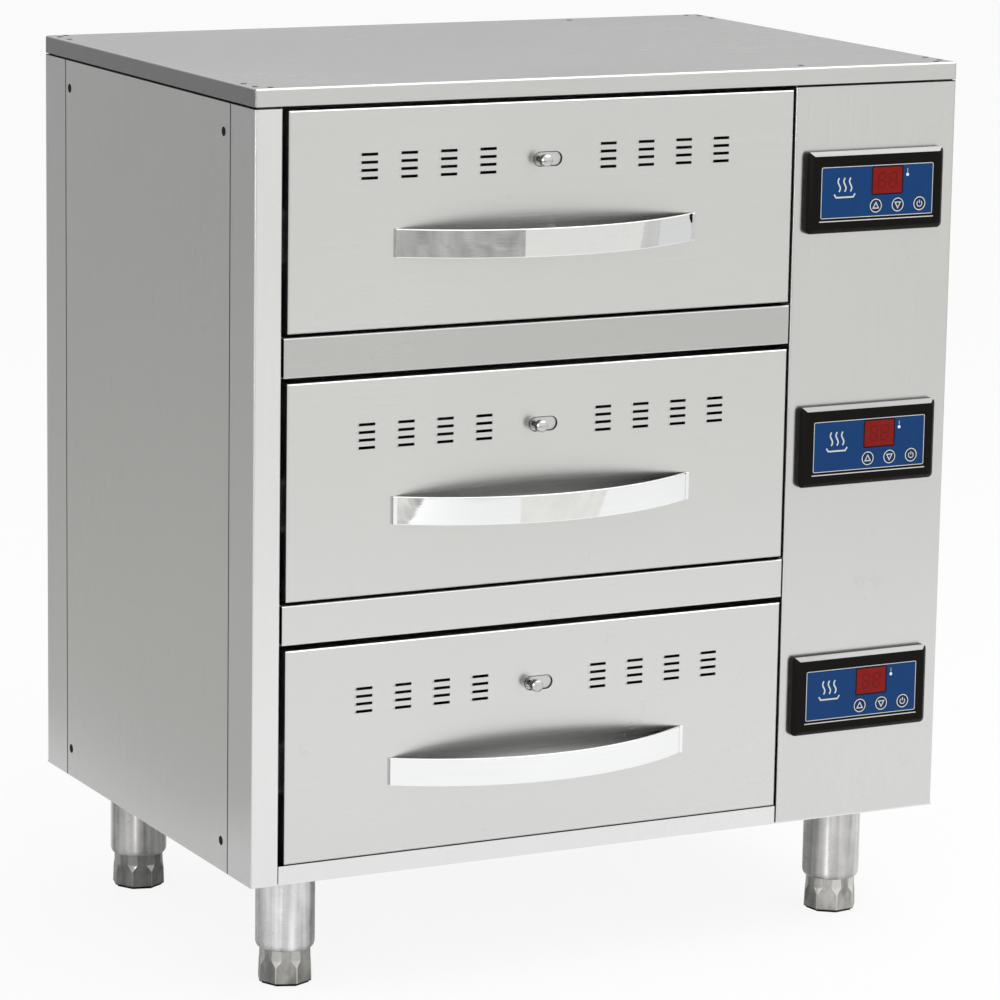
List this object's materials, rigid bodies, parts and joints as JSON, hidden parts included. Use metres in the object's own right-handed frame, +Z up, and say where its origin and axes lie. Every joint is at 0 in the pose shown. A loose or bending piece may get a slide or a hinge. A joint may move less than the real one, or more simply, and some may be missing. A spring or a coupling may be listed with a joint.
{
  "type": "warming drawer cabinet",
  "caption": "Free-standing stainless warming cabinet: stacked drawers with bow handles and vent shutters, a controller beside each, on screw-adjusted legs.",
  "frame": {"origin": "on the floor, in the middle of the outline, handles and cable gland included", "axes": "+Z up; -Y the way the drawers open; +X to the right seen from the front, where the controllers are"},
  "size_m": [0.7, 0.546, 0.8105],
  "materials": {
    "stainless_sheet": "satin stainless sheet",
    "stainless_front": "stainless sheet with a horizontal grain",
    "chrome": "polished",
    "stand_steel": "turned stainless steel",
    "zinc_steel": "bright zinc plated",
    "element_sheath": "annealed stainless tube",
    "black_plastic": "moulded, slightly glossy",
    "blue_overlay": "printed film",
    "red_display": "tinted window",
    "button_film": "printed film",
    "pale_plastic": "moulded",
    "rubber": "black"
  },
  "bodies": {
    "cabinet": {"top_cover": "stainless_sheet", "left_side_panel": "stainless_sheet", "right_side_panel": "stainless_sheet", "back_panel": "stainless_sheet", "base_panel": "stainless_sheet", "front_left_post": "stainless_sheet", "rear_posts": "stainless_sheet", "control_fascia": "stainless_sheet", "mid_front_rails": "stainless_sheet", "partition_wall": "stainless_sheet", "left_liner": "stainless_sheet", "chamber_shelves": "stainless_sheet", "slide_cabinet_members": "zinc_steel", "heating_elements": "element_sheath", "temperature_probes": "element_sheath", "controller_bezels": "black_plastic", "controller_overlays": "blue_overlay", "controller_displays": "red_display", "controller_cases": "black_plastic", "terminal_block": "pale_plastic", "cable_gland": "black_plastic", "legs": "stand_steel"},
    "top_drawer": {"top_drawer_front": "stainless_front", "top_drawer_box": "stainless_sheet", "top_drawer_handle": "chrome", "top_slide_drawer_members": "zinc_steel"},
    "top_slide_middle": {"top_slide_middle_members": "zinc_steel"},
    "top_shutter": {"top_vent_shutter": "stainless_sheet", "top_vent_knob": "chrome"},
    "top_up_button": {"top_up_button": "button_film"},
    "top_down_button": {"top_down_button": "button_film"},
    "top_power_button": {"top_power_button": "button_film"},
    "middle_drawer": {"middle_drawer_front": "stainless_front", "middle_drawer_box": "stainless_sheet", "middle_drawer_handle": "chrome", "middle_slide_drawer_members": "zinc_steel"},
    "middle_slide_middle": {"middle_slide_middle_members": "zinc_steel"},
    "middle_shutter": {"middle_vent_shutter": "stainless_sheet", "middle_vent_knob": "chrome"},
    "middle_up_button": {"middle_up_button": "button_film"},
    "middle_down_button": {"middle_down_button": "button_film"},
    "middle_power_button": {"middle_power_button": "button_film"},
    "bottom_drawer": {"bottom_drawer_front": "stainless_front", "bottom_drawer_box": "stainless_sheet", "bottom_drawer_handle": "chrome", "bottom_slide_drawer_members": "zinc_steel"},
    "bottom_slide_middle": {"bottom_slide_middle_members": "zinc_steel"},
    "bottom_shutter": {"bottom_vent_shutter": "stainless_sheet", "bottom_vent_knob": "chrome"},
    "bottom_up_button": {"bottom_up_button": "button_film"},
    "bottom_down_button": {"bottom_down_button": "button_film"},
    "bottom_power_button": {"bottom_power_button": "button_film"},
    "front_left_foot": {"front_left_foot": "stand_steel", "front_left_foot_pad": "rubber"},
    "front_right_foot": {"front_right_foot": "stand_steel", "front_right_foot_pad": "rubber"},
    "rear_left_foot": {"rear_left_foot": "stand_steel", "rear_left_foot_pad": "rubber"},
    "rear_right_foot": {"rear_right_foot": "stand_steel", "rear_right_foot_pad": "rubber"}
  },
  "joints": [
    {"name": "top_drawer_slide", "type": "slide", "parent": "cabinet", "child": "top_drawer", "axis": [0, -1, 0], "range_m": [0, 0.39]},
    {"name": "top_slide_middle_slide", "type": "slide", "parent": "cabinet", "child": "top_slide_middle", "axis": [0, -1, 0], "range_m": [0, 0.195]},
    {"name": "top_shutter_slide", "type": "slide", "parent": "top_drawer", "child": "top_shutter", "axis": [1, 0, 0], "range_m": [0, 0.015]},
    {"name": "top_up_button_press", "type": "slide", "parent": "cabinet", "child": "top_up_button", "axis": [0, 1, 0], "range_m": [0, 0.0005], "stiffness_N_per_m": 600, "springref_m": -0.001},
    {"name": "top_down_button_press", "type": "slide", "parent": "cabinet", "child": "top_down_button", "axis": [0, 1, 0], "range_m": [0, 0.0005], "stiffness_N_per_m": 600, "springref_m": -0.001},
    {"name": "top_power_button_press", "type": "slide", "parent": "cabinet", "child": "top_power_button", "axis": [0, 1, 0], "range_m": [0, 0.0005], "stiffness_N_per_m": 600, "springref_m": -0.001},
    {"name": "middle_drawer_slide", "type": "slide", "parent": "cabinet", "child": "middle_drawer", "axis": [0, -1, 0], "range_m": [0, 0.39]},
    {"name": "middle_slide_middle_slide", "type": "slide", "parent": "cabinet", "child": "middle_slide_middle", "axis": [0, -1, 0], "range_m": [0, 0.195]},
    {"name": "middle_shutter_slide", "type": "slide", "parent": "middle_drawer", "child": "middle_shutter", "axis": [1, 0, 0], "range_m": [0, 0.015]},
    {"name": "middle_up_button_press", "type": "slide", "parent": "cabinet", "child": "middle_up_button", "axis": [0, 1, 0], "range_m": [0, 0.0005], "stiffness_N_per_m": 600, "springref_m": -0.001},
    {"name": "middle_down_button_press", "type": "slide", "parent": "cabinet", "child": "middle_down_button", "axis": [0, 1, 0], "range_m": [0, 0.0005], "stiffness_N_per_m": 600, "springref_m": -0.001},
    {"name": "middle_power_button_press", "type": "slide", "parent": "cabinet", "child": "middle_power_button", "axis": [0, 1, 0], "range_m": [0, 0.0005], "stiffness_N_per_m": 600, "springref_m": -0.001},
    {"name": "bottom_drawer_slide", "type": "slide", "parent": "cabinet", "child": "bottom_drawer", "axis": [0, -1, 0], "range_m": [0, 0.39]},
    {"name": "bottom_slide_middle_slide", "type": "slide", "parent": "cabinet", "child": "bottom_slide_middle", "axis": [0, -1, 0], "range_m": [0, 0.195]},
    {"name": "bottom_shutter_slide", "type": "slide", "parent": "bottom_drawer", "child": "bottom_shutter", "axis": [1, 0, 0], "range_m": [0, 0.015]},
    {"name": "bottom_up_button_press", "type": "slide", "parent": "cabinet", "child": "bottom_up_button", "axis": [0, 1, 0], "range_m": [0, 0.0005], "stiffness_N_per_m": 600, "springref_m": -0.001},
    {"name": "bottom_down_button_press", "type": "slide", "parent": "cabinet", "child": "bottom_down_button", "axis": [0, 1, 0], "range_m": [0, 0.0005], "stiffness_N_per_m": 600, "springref_m": -0.001},
    {"name": "bottom_power_button_press", "type": "slide", "parent": "cabinet", "child": "bottom_power_button", "axis": [0, 1, 0], "range_m": [0, 0.0005], "stiffness_N_per_m": 600, "springref_m": -0.001},
    {"name": "front_left_foot_adjust", "type": "slide", "parent": "cabinet", "child": "front_left_foot", "axis": [0, 0, -1], "range_m": [0, 0.025]},
    {"name": "front_right_foot_adjust", "type": "slide", "parent": "cabinet", "child": "front_right_foot", "axis": [0, 0, -1], "range_m": [0, 0.025]},
    {"name": "rear_left_foot_adjust", "type": "slide", "parent": "cabinet", "child": "rear_left_foot", "axis": [0, 0, -1], "range_m": [0, 0.025]},
    {"name": "rear_right_foot_adjust", "type": "slide", "parent": "cabinet", "child": "rear_right_foot", "axis": [0, 0, -1], "range_m": [0, 0.025]}
  ],
  "couplings": [
    {"joint": "top_slide_middle_slide", "follows": "top_drawer_slide", "ratio": 0.5},
    {"joint": "middle_slide_middle_slide", "follows": "middle_drawer_slide", "ratio": 0.5},
    {"joint": "bottom_slide_middle_slide", "follows": "bottom_drawer_slide", "ratio": 0.5}
  ]
}
